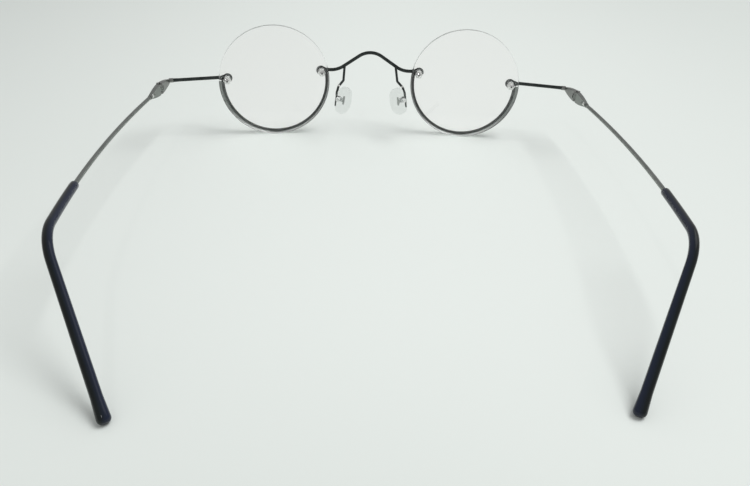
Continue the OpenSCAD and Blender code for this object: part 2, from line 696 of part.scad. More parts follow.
temple_sleeve("right");  // right_temple_sleeve
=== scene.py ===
# %% [markdown]
# # Semi-rimless reading glasses
# Two round clear lenses are drilled and screwed to a front of dark wire. Leaf hinges carry grey wire temples,
# which end in glossy dark sleeves. The imported model gives every part its exact place, so the first cell loads it
# and keeps every part where the model puts it. The cells after it dress the parts one by one.

# %% Load the frame
import json
import math

import bpy
from mathutils import Matrix, Vector


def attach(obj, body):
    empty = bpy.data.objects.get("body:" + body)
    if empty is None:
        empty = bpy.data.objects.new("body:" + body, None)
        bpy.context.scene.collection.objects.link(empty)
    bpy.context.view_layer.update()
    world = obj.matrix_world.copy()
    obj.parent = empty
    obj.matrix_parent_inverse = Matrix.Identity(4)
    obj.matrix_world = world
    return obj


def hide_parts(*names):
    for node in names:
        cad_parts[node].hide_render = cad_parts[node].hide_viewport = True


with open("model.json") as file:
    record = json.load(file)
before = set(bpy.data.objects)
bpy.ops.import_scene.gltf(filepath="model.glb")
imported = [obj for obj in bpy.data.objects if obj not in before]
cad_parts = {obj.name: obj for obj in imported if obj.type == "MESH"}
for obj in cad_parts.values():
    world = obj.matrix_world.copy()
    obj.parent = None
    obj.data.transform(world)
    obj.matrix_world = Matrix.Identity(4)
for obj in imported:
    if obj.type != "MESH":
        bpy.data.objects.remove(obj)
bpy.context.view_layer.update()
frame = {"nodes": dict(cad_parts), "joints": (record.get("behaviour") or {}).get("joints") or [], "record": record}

nodes = frame["nodes"]
print("nodes loaded:", len(nodes))

# %% [markdown]
# ## Camera
# The photograph looks over the temple tips towards the back of the front, from a little above the table.
# A camera is turned by its three axes: to the right, up, and against the line of sight. Writing these as
# the columns of a matrix is exact, while tracking an empty would lose the slight roll of a hand-held
# shot. The camera's place, angles and focal length are those that fit the photograph best.

# %% Camera
PHOTO_W = 750
FOCAL_PX = 716.24
SENSOR = 36
eye = Vector((0.01026, 0.16449, 0.09659))
pitch = math.radians(31.40)
yaw = math.radians(-3.81)
roll = math.radians(2.39)
turned = Matrix.Rotation(yaw, 3, "Z")
sight = turned @ Matrix.Rotation(pitch, 3, "X") @ Vector((0, -1, 0))
level_right = turned @ Vector((-1, 0, 0))
level_up = level_right.cross(sight)
right = math.cos(roll) * level_right + math.sin(roll) * level_up
up = math.cos(roll) * level_up - math.sin(roll) * level_right
camera = bpy.data.objects.new("camera", bpy.data.cameras.new("camera"))
camera.matrix_world = Matrix.Translation(eye) @ Matrix((right, up, -sight)).transposed().to_4x4()
camera.data.sensor_width = SENSOR
camera.data.lens = FOCAL_PX / PHOTO_W * SENSOR
camera.data.clip_start = 0.005
camera.data.clip_end = 20
bpy.context.scene.collection.objects.link(camera)
bpy.context.scene.camera = camera
print("lens in mm:", round(camera.data.lens, 2))

# %% [markdown]
# ## Table and light
# A shop table photographed under a wide ceiling lamp gives a pale, slightly green grey with very soft
# shadows. The world gives even light from all sides, one broad lamp above the table gives the shadows
# their direction, and a smaller one draws the short highlights on wire and sleeves. The background's
# paleness is the table's own colour, so the lamps can stay at a plain level.

# %% Table
def deselect():
    """Clears the selection, because an operator acts on all that is selected."""
    if bpy.context.object and bpy.context.object.mode != "OBJECT":
        bpy.ops.object.mode_set(mode="OBJECT")
    bpy.ops.object.select_all(action="DESELECT")


deselect()
bpy.ops.mesh.primitive_plane_add(size=6)
table = bpy.context.object
table.name = "table"
table_finish = bpy.data.materials.new("table_finish")
table_finish.use_nodes = True
tree = table_finish.node_tree
table_shader = tree.nodes["Principled BSDF"]
table_shader.inputs["Roughness"].default_value = 0.6
table_shader.inputs["Specular IOR Level"].default_value = 0.2
table.data.materials.append(table_finish)

# %% [markdown]
# The table is palest in the middle and darkens slowly outwards and towards the camera, as a broad lamp
# leaves it. Two soft ovals in its colour give that fall of light. Their colours and the wide oval's place
# were fitted to the photograph's background. The shadows on the table are the renderer's own.

# %% Table colour
NEAR = (0.764, 0.806, 0.777, 1)
FAR = (0.643, 0.682, 0.655, 1)
EDGE = (0.655, 0.695, 0.667, 1)


def oval(tree, place, centre, size):
    """A mask that is 1 in the middle of an oval on the table and fades to 0 at its edge."""
    move = tree.nodes.new("ShaderNodeMapping")
    move.vector_type = "TEXTURE"
    move.inputs["Location"].default_value = (*centre, 0)
    move.inputs["Scale"].default_value = (*size, 1)
    far_off = tree.nodes.new("ShaderNodeVectorMath")
    far_off.operation = "LENGTH"
    fade = tree.nodes.new("ShaderNodeMapRange")
    fade.interpolation_type = "SMOOTHSTEP"
    fade.inputs["To Min"].default_value = 1
    fade.inputs["To Max"].default_value = 0
    tree.links.new(place.outputs["Object"], move.inputs["Vector"])
    tree.links.new(move.outputs["Vector"], far_off.inputs[0])
    tree.links.new(far_off.outputs["Value"], fade.inputs["Value"])
    return fade.outputs["Result"]


def over(tree, under, colour, mask):
    """Lays a colour over another through a mask."""
    mix = tree.nodes.new("ShaderNodeMix")
    mix.data_type = "RGBA"
    tree.links.new(mask, mix.inputs["Factor"])
    if isinstance(under, tuple):
        mix.inputs[6].default_value = under
    else:
        tree.links.new(under, mix.inputs[6])
    mix.inputs[7].default_value = colour
    return mix.outputs[2]


place = tree.nodes.new("ShaderNodeTexCoord")
colour = over(tree, FAR, NEAR, oval(tree, place, (0.004, -0.033), (0.256, 1.5)))
colour = over(tree, colour, EDGE, oval(tree, place, (0.02, 0.17), (0.17, 0.15)))
tree.links.new(colour, table_shader.inputs["Base Color"])
print("table colour nodes:", len(tree.nodes))

# %% Light
world = bpy.data.worlds.new("room")
bpy.context.scene.world = world
world.use_nodes = True
sky = world.node_tree.nodes["Background"]
sky.inputs["Color"].default_value = (1, 1, 1, 1)
sky.inputs["Strength"].default_value = 0.5
backdrop = world.node_tree.nodes.new("ShaderNodeBackground")
backdrop.inputs["Color"].default_value = (0.78, 0.82, 0.79, 1)
rays = world.node_tree.nodes.new("ShaderNodeLightPath")
seen = world.node_tree.nodes.new("ShaderNodeMath")
seen.operation = "MAXIMUM"
choose = world.node_tree.nodes.new("ShaderNodeMixShader")
wire_up = world.node_tree.links.new
wire_up(rays.outputs["Is Camera Ray"], seen.inputs[0])
wire_up(rays.outputs["Is Transmission Ray"], seen.inputs[1])
wire_up(seen.outputs["Value"], choose.inputs["Fac"])
wire_up(sky.outputs["Background"], choose.inputs[1])
wire_up(backdrop.outputs["Background"], choose.inputs[2])
wire_up(choose.outputs["Shader"], world.node_tree.nodes["World Output"].inputs["Surface"])


def lamp(name, at, aim, size, watts):
    """An area lamp at a place, facing a point."""
    data = bpy.data.lights.new(name, "AREA")
    data.size = size
    data.energy = watts
    light = bpy.data.objects.new(name, data)
    light.location = at
    light.rotation_euler = (Vector(aim) - Vector(at)).to_track_quat("-Z", "Y").to_euler()
    bpy.context.scene.collection.objects.link(light)
    return light


wide = lamp("ceiling_lamp", (-0.5, 0.0, 1.05), (0, 0, 0), 0.6, 7.7)
wide.visible_glossy = False
lamp("window_light", (-0.9, -0.6, 1.3), (0, 0, 0), 0.9, 2.3)
lamp("small_bulb", (0.25, 0.55, 0.8), (0, 0, 0), 0.04, 0.25)
bpy.context.scene.view_settings.view_transform = "Standard"

# %% [markdown]
# ## Places
# Each part is modelled in millimetres about its own origin, the way it would be drawn for the bench: a
# lens about its centre, a pad about its screw, a temple about its hinge pin. A matrix then takes the mesh
# to its place on the glasses. The solids are placed by the same moves, so a new piece lands where its
# solid is. How the glasses lean back on the table comes from the frame: the left hinge's axis gives the
# tilt and its place gives the move. Working at a thousand times the real size also keeps merge and bevel
# distances well away from Blender's smallest steps.

# %% Places
def shift(x, y, z):
    """A move, as a matrix."""
    return Matrix.Translation((x, y, z))


def swing(axis, degrees):
    """A turn about an axis through the origin, as a matrix."""
    return Matrix.Rotation(math.radians(degrees), 4, axis)


IN_PLACE = Matrix.Scale(0.001, 4)
OPEN_ANGLE = 6.1
WRAP = 5.5
FOLD = {"left": 0, "right": 3}
LENS_X = 31.5
LENS_R = 18
LENS_EDGE = 1.6
FRONT_R = 90
BACK_R = 125
NOSE_OUT = 15.7
NOSE_UP = 3.1
TEMPLE_OUT = 15.3
TEMPLE_UP = 0.7
WASHER_R = 1.25
FRONT_WASHER_T = 0.15
BACK_WASHER_T = 0.3
EYELET_T = 0.75
NUT_H = 2.1
WIRE_D = 1.1
WIRE_OUT = 17.9
ENDPIECE_L = 16.2
ENDPIECE_DROP = 0.9
FRONT_LEAF_L = 9.3
REAR_LEAF_L = 8.9
PAD_FLARE = 7
PAD_SPLAY = 38
PAD_SCREW_AT = (10.1, 7.2, -3.4)
at_lens = shift(LENS_X, 0, 0) @ swing("Z", WRAP)
at_pad = shift(*PAD_SCREW_AT) @ swing("Y", -PAD_FLARE) @ swing("Z", -PAD_SPLAY)


def front_y(r):
    """Depth of a lens's front surface at a distance from its axis."""
    return -LENS_EDGE / 2 + math.sqrt(FRONT_R ** 2 - LENS_R ** 2) - math.sqrt(FRONT_R ** 2 - r ** 2)


def back_y(r):
    """Depth of a lens's back surface at a distance from its axis."""
    return LENS_EDGE / 2 + math.sqrt(BACK_R ** 2 - LENS_R ** 2) - math.sqrt(BACK_R ** 2 - r ** 2)


EYELET_BACK = front_y(TEMPLE_OUT) - math.tan(math.asin(TEMPLE_OUT / FRONT_R)) * WASHER_R - FRONT_WASHER_T
EYELET_Y = EYELET_BACK - EYELET_T / 2
EYELET_FRONT = EYELET_BACK - EYELET_T
NUT_FRONT = back_y(NOSE_OUT) + math.tan(math.asin(NOSE_OUT / BACK_R)) * WASHER_R + BACK_WASHER_T
NOSE_HOLE = Vector((-math.sqrt(NOSE_OUT ** 2 - NOSE_UP ** 2), 0, NOSE_UP))
TEMPLE_HOLE = Vector((math.sqrt(TEMPLE_OUT ** 2 - TEMPLE_UP ** 2), 0, TEMPLE_UP))
endpiece_across = math.sqrt(ENDPIECE_L ** 2 - ENDPIECE_DROP ** 2)
endpiece_way = Vector((endpiece_across, 0, -ENDPIECE_DROP)).normalized()
endpiece_start = Vector((WIRE_OUT, EYELET_Y, TEMPLE_UP))
corner = at_lens @ (endpiece_start + ENDPIECE_L * endpiece_way)
pin = corner + swing("Z", -OPEN_ANGLE).to_3x3() @ Vector((0, FRONT_LEAF_L, 0))
hinge = next(joint for joint in frame["joints"] if joint["name"] == "left_temple_fold")
tilt = swing("X", math.degrees(math.atan2(-hinge["axis"][1], hinge["axis"][2])))
standing = IN_PLACE @ shift(*(1000 * Vector(hinge["pos_m"]) - tilt @ pin)) @ tilt
SIDES = {"left": standing, "right": standing @ Matrix.Scale(-1, 4, (1, 0, 0))}


def at_pin(side):
    """The place of a temple, about its hinge pin, at its fold in the photograph."""
    return shift(*pin) @ swing("Z", FOLD[side] - OPEN_ANGLE)


print("left hinge pin in mm:", [round(v * 1000, 2) for v in SIDES["left"] @ pin])

# %% [markdown]
# ## Shared effects
# Two effects come back in most of the finishes. A slow mottle stands for handling and plating that is
# never quite even, and fine drawn lines stand for the way wire and leaves are polished along their
# length. Each is a node group that is built once, with its sizes as inputs, so the same effect can be
# coarse on a leaf and fine on a wire.

# %% Mottle group
def new_group(name, inputs, outputs):
    """An empty shader node group with named sockets."""
    group = bpy.data.node_groups.new(name, "ShaderNodeTree")
    for label, kind, value in inputs:
        socket = group.interface.new_socket(label, in_out="INPUT", socket_type=kind)
        if value is not None:
            socket.default_value = value
    for label, kind in outputs:
        group.interface.new_socket(label, in_out="OUTPUT", socket_type=kind)
    return group, group.nodes.new("NodeGroupInput"), group.nodes.new("NodeGroupOutput")


mottle_group, given, out = new_group(
    "handling_mottle",
    [
        ("Vector", "NodeSocketVector", None),
        ("Scale", "NodeSocketFloat", 900),
        ("Clean", "NodeSocketColor", (0.1, 0.1, 0.1, 1)),
        ("Handled", "NodeSocketColor", (0.2, 0.2, 0.2, 1)),
        ("Smooth", "NodeSocketFloat", 0.2),
        ("Rough", "NodeSocketFloat", 0.4),
    ],
    [("Color", "NodeSocketColor"), ("Roughness", "NodeSocketFloat")],
)
cloud = mottle_group.nodes.new("ShaderNodeTexNoise")
cloud.inputs["Detail"].default_value = 4
cloud.inputs["Roughness"].default_value = 0.6
spread = mottle_group.nodes.new("ShaderNodeMapRange")
spread.inputs["From Min"].default_value = 0.35
spread.inputs["From Max"].default_value = 0.65
tint = mottle_group.nodes.new("ShaderNodeMix")
tint.data_type = "RGBA"
polish = mottle_group.nodes.new("ShaderNodeMapRange")
join = mottle_group.links.new
join(given.outputs["Vector"], cloud.inputs["Vector"])
join(given.outputs["Scale"], cloud.inputs["Scale"])
join(cloud.outputs["Fac"], spread.inputs["Value"])
join(spread.outputs["Result"], tint.inputs["Factor"])
join(given.outputs["Clean"], tint.inputs[6])
join(given.outputs["Handled"], tint.inputs[7])
join(spread.outputs["Result"], polish.inputs["Value"])
join(given.outputs["Smooth"], polish.inputs["To Min"])
join(given.outputs["Rough"], polish.inputs["To Max"])
join(tint.outputs[2], out.inputs["Color"])
join(polish.outputs["Result"], out.inputs["Roughness"])
print(mottle_group.name, "gives", [s.name for s in out.inputs if s.name])

# %% Drawn lines group
line_group, given, out = new_group(
    "drawn_lines",
    [
        ("Vector", "NodeSocketVector", None),
        ("Scale", "NodeSocketFloat", 6000),
        ("Stretch", "NodeSocketVector", (1, 0.03, 1)),
    ],
    [("Height", "NodeSocketFloat")],
)
pull = line_group.nodes.new("ShaderNodeVectorMath")
pull.operation = "MULTIPLY"
lines = line_group.nodes.new("ShaderNodeTexNoise")
lines.inputs["Detail"].default_value = 2
line_group.links.new(given.outputs["Vector"], pull.inputs[0])
line_group.links.new(given.outputs["Stretch"], pull.inputs[1])
line_group.links.new(pull.outputs["Vector"], lines.inputs["Vector"])
line_group.links.new(given.outputs["Scale"], lines.inputs["Scale"])
line_group.links.new(lines.outputs["Fac"], out.inputs["Height"])
print(line_group.name, "gives", [s.name for s in out.inputs if s.name])

# %% [markdown]
# ## Metal finishes
# The front wire is plated a dark gunmetal, the leaves and temples are satin titanium, and the small
# screws and nuts are plain steel dulled by handling. One helper lays the mottle and the drawn lines under
# a Principled shader. Pure metal would mirror the pale room too strongly for such dark plating, so the
# base colour stays low.

# %% Metal finishes
EVEN = (1, 1, 1)
DRAWN = (1, 0.03, 1)


def metal(
    name, clean, handled, smooth, rough, cloud_scale, line_scale, line_depth, stretch=DRAWN, metallic=1.0
):
    """A metal whose colour and polish follow the mottle and whose surface follows the drawn lines."""
    material = bpy.data.materials.new(name)
    material.use_nodes = True
    tree = material.node_tree
    shader = tree.nodes["Principled BSDF"]
    shader.inputs["Metallic"].default_value = metallic
    place = tree.nodes.new("ShaderNodeTexCoord")
    mottle = tree.nodes.new("ShaderNodeGroup")
    mottle.node_tree = mottle_group
    mottle.inputs["Scale"].default_value = cloud_scale
    mottle.inputs["Clean"].default_value = (*clean, 1)
    mottle.inputs["Handled"].default_value = (*handled, 1)
    mottle.inputs["Smooth"].default_value = smooth
    mottle.inputs["Rough"].default_value = rough
    drawn = tree.nodes.new("ShaderNodeGroup")
    drawn.node_tree = line_group
    drawn.inputs["Scale"].default_value = line_scale
    drawn.inputs["Stretch"].default_value = stretch
    bump = tree.nodes.new("ShaderNodeBump")
    bump.inputs["Strength"].default_value = 0.35
    bump.inputs["Distance"].default_value = line_depth
    tree.links.new(place.outputs["Object"], mottle.inputs["Vector"])
    tree.links.new(place.outputs["Object"], drawn.inputs["Vector"])
    tree.links.new(mottle.outputs["Color"], shader.inputs["Base Color"])
    tree.links.new(mottle.outputs["Roughness"], shader.inputs["Roughness"])
    tree.links.new(drawn.outputs["Height"], bump.inputs["Height"])
    tree.links.new(bump.outputs["Normal"], shader.inputs["Normal"])
    return material


gunmetal = metal(
    "gunmetal_wire", (0.030, 0.036, 0.034), (0.055, 0.062, 0.060), 0.26, 0.42, 500, 5000, 0.00001, EVEN
)
titanium = metal(
    "satin_titanium", (0.18, 0.185, 0.175), (0.29, 0.295, 0.285), 0.30, 0.44, 420, 7000, 0.00002
)
temple_grey = metal(
    "drawn_temple_wire", (0.21, 0.225, 0.21), (0.28, 0.295, 0.28), 0.30, 0.45, 300, 6000, 0.00001
)
steel = metal(
    "dulled_steel", (0.56, 0.56, 0.55), (0.93, 0.93, 0.92), 0.07, 0.18, 1500, 7000, 0.00003, EVEN
)
# A near-black finish that is painted shade, for the insides of slots and the nut's drill mark.
joint_shadow = metal(
    "painted_recess_shade", (0.006, 0.006, 0.006), (0.012, 0.012, 0.011), 0.4, 0.6, 900, 7000, 0.00002, EVEN
)
# A bright finish for small spots that are painted highlights.
painted_glint = metal(
    "painted_highlight_spot", (0.70, 0.70, 0.68), (0.86, 0.86, 0.84), 0.2, 0.4, 1500, 7000, 0.00003, EVEN
)
# A pale, non-metallic finish for the pad arm's ears and the pad screw.
pale_matte = metal(
    "pale_nonmetal", (0.82, 0.83, 0.82), (0.90, 0.91, 0.90), 0.4, 0.5, 1500, 7000, 0.00001, EVEN, 0.0
)
insert_grey = metal(
    "insert_grey", (0.40, 0.41, 0.40), (0.48, 0.49, 0.48), 0.3, 0.4, 1500, 7000, 0.00001, EVEN
)
metals = (gunmetal, titanium, temple_grey, steel, joint_shadow, painted_glint, pale_matte, insert_grey)
print("metals:", [m.name for m in metals])

# %% [markdown]
# ## Clear finishes
# Lenses, washers, bushings and pads are all clear. A path tracer that skips caustics would give them black
# shadows, so a clear finish lets shadow rays pass almost whole, as a real thin lens does. The ground edge of a
# lens is the same glass with a fine frost, which scatters light and shows as a pale ring. Beside the half rim that
# frost is painted dark, as a painted shade and painted reflection of the wire, most of all towards the temple, so
# there its colour follows an attribute of the lens. In the photograph a pad's insert shows through clearly, so the
# silicone is given almost no refraction, far less than the real one has, and a coat for its gloss.

# %% Clear finishes
def clear(name, colour, roughness, ior, grain=0.0, grain_scale=9000, shade=0.86):
    """Clear glass or plastic that still lets most light through to the table."""
    material = bpy.data.materials.new(name)
    material.use_nodes = True
    tree = material.node_tree
    shader = tree.nodes["Principled BSDF"]
    shader.inputs["Base Color"].default_value = (*colour, 1)
    shader.inputs["Roughness"].default_value = roughness
    shader.inputs["IOR"].default_value = ior
    shader.inputs["Transmission Weight"].default_value = 1.0
    place = tree.nodes.new("ShaderNodeTexCoord")
    grain_noise = tree.nodes.new("ShaderNodeTexNoise")
    grain_noise.inputs["Scale"].default_value = grain_scale
    grain_noise.inputs["Detail"].default_value = 2
    bump = tree.nodes.new("ShaderNodeBump")
    bump.inputs["Strength"].default_value = grain
    bump.inputs["Distance"].default_value = 0.00003
    tree.links.new(place.outputs["Object"], grain_noise.inputs["Vector"])
    tree.links.new(grain_noise.outputs["Fac"], bump.inputs["Height"])
    tree.links.new(bump.outputs["Normal"], shader.inputs["Normal"])
    passing = tree.nodes.new("ShaderNodeBsdfTransparent")
    passing.inputs["Color"].default_value = (shade, shade, shade, 1)
    rays = tree.nodes.new("ShaderNodeLightPath")
    choose = tree.nodes.new("ShaderNodeMixShader")
    surface = tree.nodes["Material Output"].inputs["Surface"]
    tree.links.new(rays.outputs["Is Shadow Ray"], choose.inputs["Fac"])
    tree.links.new(shader.outputs["BSDF"], choose.inputs[1])
    tree.links.new(passing.outputs["BSDF"], choose.inputs[2])
    tree.links.new(choose.outputs["Shader"], surface)
    return material


lens_glass = clear("lens_glass", (1.0, 0.984, 0.987), 0.0, 1.5, 0.0, shade=0.82)
ground_edge = clear("ground_lens_edge", (0.98, 0.985, 0.98), 0.45, 1.2, 0.5, shade=0.6)
# Painted shade: the frost beside the half rim turns dark, standing for the wire's shadow and reflection.
rim_shade_frost = clear("rim_frost_painted_shade", (0.55, 0.57, 0.56), 0.6, 1.35, 0.6, shade=0.4)
tree = rim_shade_frost.node_tree
painted_wire_shade = tree.nodes.new("ShaderNodeAttribute")
painted_wire_shade.attribute_name = "painted_wire_shade"
wire_shade = tree.nodes.new("ShaderNodeMix")
wire_shade.data_type = "RGBA"
wire_shade.inputs[6].default_value = (0.60, 0.62, 0.61, 1)
wire_shade.inputs[7].default_value = (0.045, 0.052, 0.048, 1)
tree.links.new(painted_wire_shade.outputs["Fac"], wire_shade.inputs["Factor"])
tree.links.new(wire_shade.outputs[2], tree.nodes["Principled BSDF"].inputs["Base Color"])
washer_clear = clear("washer_plastic", (0.90, 0.92, 0.92), 0.30, 1.42, 0.2, shade=0.75)
silicone = clear("pad_silicone", (0.87, 0.88, 0.875), 0.02, 1.01, 0.05, 2500, shade=0.85)
silicone_shader = silicone.node_tree.nodes["Principled BSDF"]
silicone_shader.inputs["Coat Weight"].default_value = 0.8
silicone_shader.inputs["Coat Roughness"].default_value = 0.12
silicone_shader.inputs["Coat IOR"].default_value = 1.4
print("clear finishes:", [m.name for m in (lens_glass, ground_edge, rim_shade_frost, washer_clear, silicone)])

# %% [markdown]
# ## Sleeve finish
# The temple sleeves are dark acetate with a high gloss, green black outside and navy on the side that
# faces the head. Dark plastic looks flat in one colour, so a slow cloud runs along the sleeve, and the
# gloss dulls slightly where hair and fingers rub it. Which side a point lies on is an attribute of the
# mesh, which the sleeves get further down.

# %% Sleeve finish
sleeve_finish = bpy.data.materials.new("dark_acetate")
sleeve_finish.use_nodes = True
tree = sleeve_finish.node_tree
shader = tree.nodes["Principled BSDF"]
shader.inputs["IOR"].default_value = 1.34
place = tree.nodes.new("ShaderNodeTexCoord")
mottle = tree.nodes.new("ShaderNodeGroup")
mottle.node_tree = mottle_group
mottle.inputs["Scale"].default_value = 260
mottle.inputs["Clean"].default_value = (0.002, 0.004, 0.0038, 1)
mottle.inputs["Handled"].default_value = (0.004, 0.0075, 0.007, 1)
mottle.inputs["Smooth"].default_value = 0.05
mottle.inputs["Rough"].default_value = 0.11
inner_side = tree.nodes.new("ShaderNodeAttribute")
inner_side.attribute_name = "inner_side"
layers = tree.nodes.new("ShaderNodeMix")
layers.data_type = "RGBA"
layers.inputs[7].default_value = (0.008, 0.013, 0.030, 1)
tree.links.new(place.outputs["Object"], mottle.inputs["Vector"])
tree.links.new(inner_side.outputs["Fac"], layers.inputs["Factor"])
tree.links.new(mottle.outputs["Color"], layers.inputs[6])
tree.links.new(layers.outputs[2], shader.inputs["Base Color"])
tree.links.new(mottle.outputs["Roughness"], shader.inputs["Roughness"])
print("sleeve finish:", sleeve_finish.name)

# %% [markdown]
# ## First coat
# Every solid gets its real finish first. What stays visible is then right at once, and the cells below
# replace the parts that deserve a finer form.

# %% First coat
finishes = {
    "lens_glass": lens_glass,
    "dark_wire": gunmetal,
    "titanium": titanium,
    "bright_steel": steel,
    "clear_plastic": washer_clear,
    "clear_silicone": silicone,
    "black_sleeve": sleeve_finish,
}
node_slots = {row["node"]: row["material_slot"] for row in frame["record"]["subparts"]}
for name, node in nodes.items():
    node.data.materials.clear()
    node.data.materials.append(finishes[node_slots[name]])
print("coated:", len(nodes))

# %% [markdown]
# ## Bench tools
# Three ways of making cover the whole object. Wire is drawn: a ring of points is pushed on in straights
# and swept round in bends. Small round parts are turned: an outline is spun about an axis. Brazed and
# stamped parts have soft edges and joints that no bevel gives well, so a copy of their solid is remeshed
# finely and smoothed, which rounds edges and fills corners as polish and braze do.

# %% Finish a piece
def settle(piece, name, place, body, finish, replaced):
    """Names a piece, moves its mesh to its place in metres, and hands it over to its body."""
    piece.name = name
    piece.data.name = name
    piece.data.transform(place)
    if place.determinant() < 0:
        piece.data.flip_normals()
    for material in finish:
        piece.data.materials.append(material)
    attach(piece, body)
    if replaced:
        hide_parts(*replaced)
    print(name, "faces:", len(piece.data.polygons))


def finish_where(piece, place, index, test):
    """Gives another finish to the faces whose place and way, in the part's own frame, pass a test."""
    back_home = place.inverted()
    count = 0
    for face in piece.data.polygons:
        if test(back_home @ face.center, (back_home.to_3x3() @ face.normal).normalized()):
            face.material_index = index
            count += 1
    print(piece.name, "finish", index, "on faces:", count)


def smooth_by_angle(piece, degrees):
    """Rounds the shading over edges that are flatter than an angle."""
    deselect()
    piece.select_set(True)
    bpy.context.view_layer.objects.active = piece
    bpy.ops.object.shade_smooth_by_angle(angle=math.radians(degrees))


# %% Draw wire
RING = 24


def start_wire(at, way, diameter):
    """Adds the first ring of a wire, square to its way, and leaves it selected for the next move."""
    deselect()
    turn = Vector((0, 0, 1)).rotation_difference(Vector(way)).to_euler()
    bpy.ops.mesh.primitive_circle_add(vertices=RING, radius=diameter / 2, location=at, rotation=turn)
    bpy.ops.object.transform_apply(location=True, rotation=True, scale=True)
    bpy.ops.object.mode_set(mode="EDIT")
    bpy.ops.mesh.select_all(action="SELECT")


def run_straight(by):
    """Pushes the end of a wire on in a straight line."""
    bpy.ops.mesh.extrude_region_move(TRANSFORM_OT_translate={"value": by})


def run_bend(centre, axis, degrees, steps):
    """Sweeps the end of a wire round a centre. The spin operator counts its angle the other way round."""
    bpy.ops.mesh.spin(steps=steps, angle=-math.radians(degrees), center=centre, axis=axis)


def widen(centre, factor):
    """Makes the end ring of a wire larger or smaller."""
    bpy.ops.transform.resize(value=(factor, factor, factor), center_override=centre)


def end_wire():
    """Closes both ends of a wire and gives the finished object."""
    bpy.ops.mesh.select_all(action="SELECT")
    bpy.ops.mesh.fill_holes(sides=0)
    bpy.ops.mesh.select_all(action="SELECT")
    bpy.ops.mesh.normals_make_consistent(inside=False)
    bpy.ops.object.mode_set(mode="OBJECT")
    return bpy.context.object


def bent_wire(points, radii, diameter, step=4):
    """Wire through points, with a bend of its own radius at each inner point."""
    points = [Vector(p) for p in points]
    ways = [(b - a).normalized() for a, b in zip(points, points[1:])]
    cuts = [0]
    for radius, before, after in zip(radii, ways, ways[1:]):
        cuts.append(radius * math.tan(before.angle(after) / 2))
    cuts.append(0)
    start_wire(points[0], ways[0], diameter)
    for i, way in enumerate(ways):
        length = (points[i + 1] - points[i]).length - cuts[i] - cuts[i + 1]
        if length > 0.001:
            run_straight(length * way)
        if i + 1 < len(ways):
            after = ways[i + 1]
            angle = math.degrees(way.angle(after))
            foot = points[i + 1] - cuts[i + 1] * way
            inward = (after - after.dot(way) * way).normalized()
            steps = max(3, round(angle / step))
            run_bend(foot + radii[i] * inward, way.cross(after).normalized(), angle, steps)
    return end_wire()


# %% Turn a round part
def turned_part(outline, axis, steps=40):
    """Spins an outline of (distance from the axis, place along it) round the Y or Z axis."""
    def spot(r, along):
        return Vector((r, along, 0)) if axis == "Y" else Vector((r, 0, along))

    deselect()
    bpy.ops.mesh.primitive_plane_add(size=0.1)
    bpy.ops.object.mode_set(mode="EDIT")
    bpy.ops.mesh.select_all(action="SELECT")
    bpy.ops.mesh.merge(type="CENTER")
    bpy.ops.transform.translate(value=spot(*outline[0]))
    for before, after in zip(outline, outline[1:]):
        bpy.ops.mesh.extrude_region_move(TRANSFORM_OT_translate={"value": spot(*after) - spot(*before)})
    bpy.ops.mesh.select_all(action="SELECT")
    centre_line = (0, 1, 0) if axis == "Y" else (0, 0, 1)
    bpy.ops.mesh.spin(steps=steps, angle=math.tau, center=(0, 0, 0), axis=centre_line)
    bpy.ops.mesh.select_all(action="SELECT")
    bpy.ops.mesh.remove_doubles(threshold=0.0005)
    bpy.ops.mesh.normals_make_consistent(inside=False)
    bpy.ops.object.mode_set(mode="OBJECT")
    return bpy.context.object


# %% Cut with a tool
def cut_away(piece, tool):
    """Takes the form of a tool out of a piece with a Boolean."""
    bpy.ops.object.transform_apply(location=True, rotation=True, scale=True)
    deselect()
    piece.select_set(True)
    bpy.context.view_layer.objects.active = piece
    cut = piece.modifiers.new("cut", "BOOLEAN")
    cut.operation = "DIFFERENCE"
    cut.solver = "EXACT"
    cut.object = tool
    bpy.ops.object.modifier_apply(modifier="cut")
    bpy.data.objects.remove(tool, do_unlink=True)


# %% Soften a copy of a solid
def softened(names, voxel, passes):
    """Copies solids into one skin, remeshes it finely and rounds its edges and joints."""
    copies = []
    for name in names:
        mesh = nodes[name].data.copy()
        mesh.materials.clear()
        mesh.transform(Matrix.Scale(1000, 4))
        copy = bpy.data.objects.new(name + "_copy", mesh)
        bpy.context.scene.collection.objects.link(copy)
        copies.append(copy)
    deselect()
    for copy in copies:
        copy.select_set(True)
    bpy.context.view_layer.objects.active = copies[0]
    if len(copies) > 1:
        bpy.ops.object.join()
    piece = bpy.context.object
    bpy.ops.object.mode_set(mode="EDIT")
    bpy.ops.mesh.select_all(action="SELECT")
    bpy.ops.mesh.remove_doubles(threshold=0.0005)
    bpy.ops.object.mode_set(mode="OBJECT")
    skin = piece.modifiers.new("skin", "REMESH")
    skin.mode = "VOXEL"
    skin.voxel_size = voxel
    bpy.ops.object.modifier_apply(modifier="skin")
    round_off = piece.modifiers.new("round_off", "SMOOTH")
    round_off.factor = 0.5
    round_off.iterations = passes
    bpy.ops.object.modifier_apply(modifier="round_off")
    bpy.ops.object.shade_smooth()
    return piece

# %% [markdown]
# ## Lenses
# A lens is a thin meniscus, bulging to the front, with a ground edge and a small bevel on each side of it. The
# outline from the centre over the front, round the edge and back to the centre is spun once, which gives true
# spherical surfaces; a scaled sphere would not keep the edge at its even thickness. The holes are then drilled
# with a Boolean. The ground edge and the bores get a frosted finish. The ring of the front face under the half rim
# and the edge beside it get a frost that is darkened with painted shade and a painted reflection of the wire.

# %% Turn the lenses
LENS_STEPS = 160
FACE_STEPS = 21
EDGE_BEVEL = 0.16
HOLE_D = 1.84


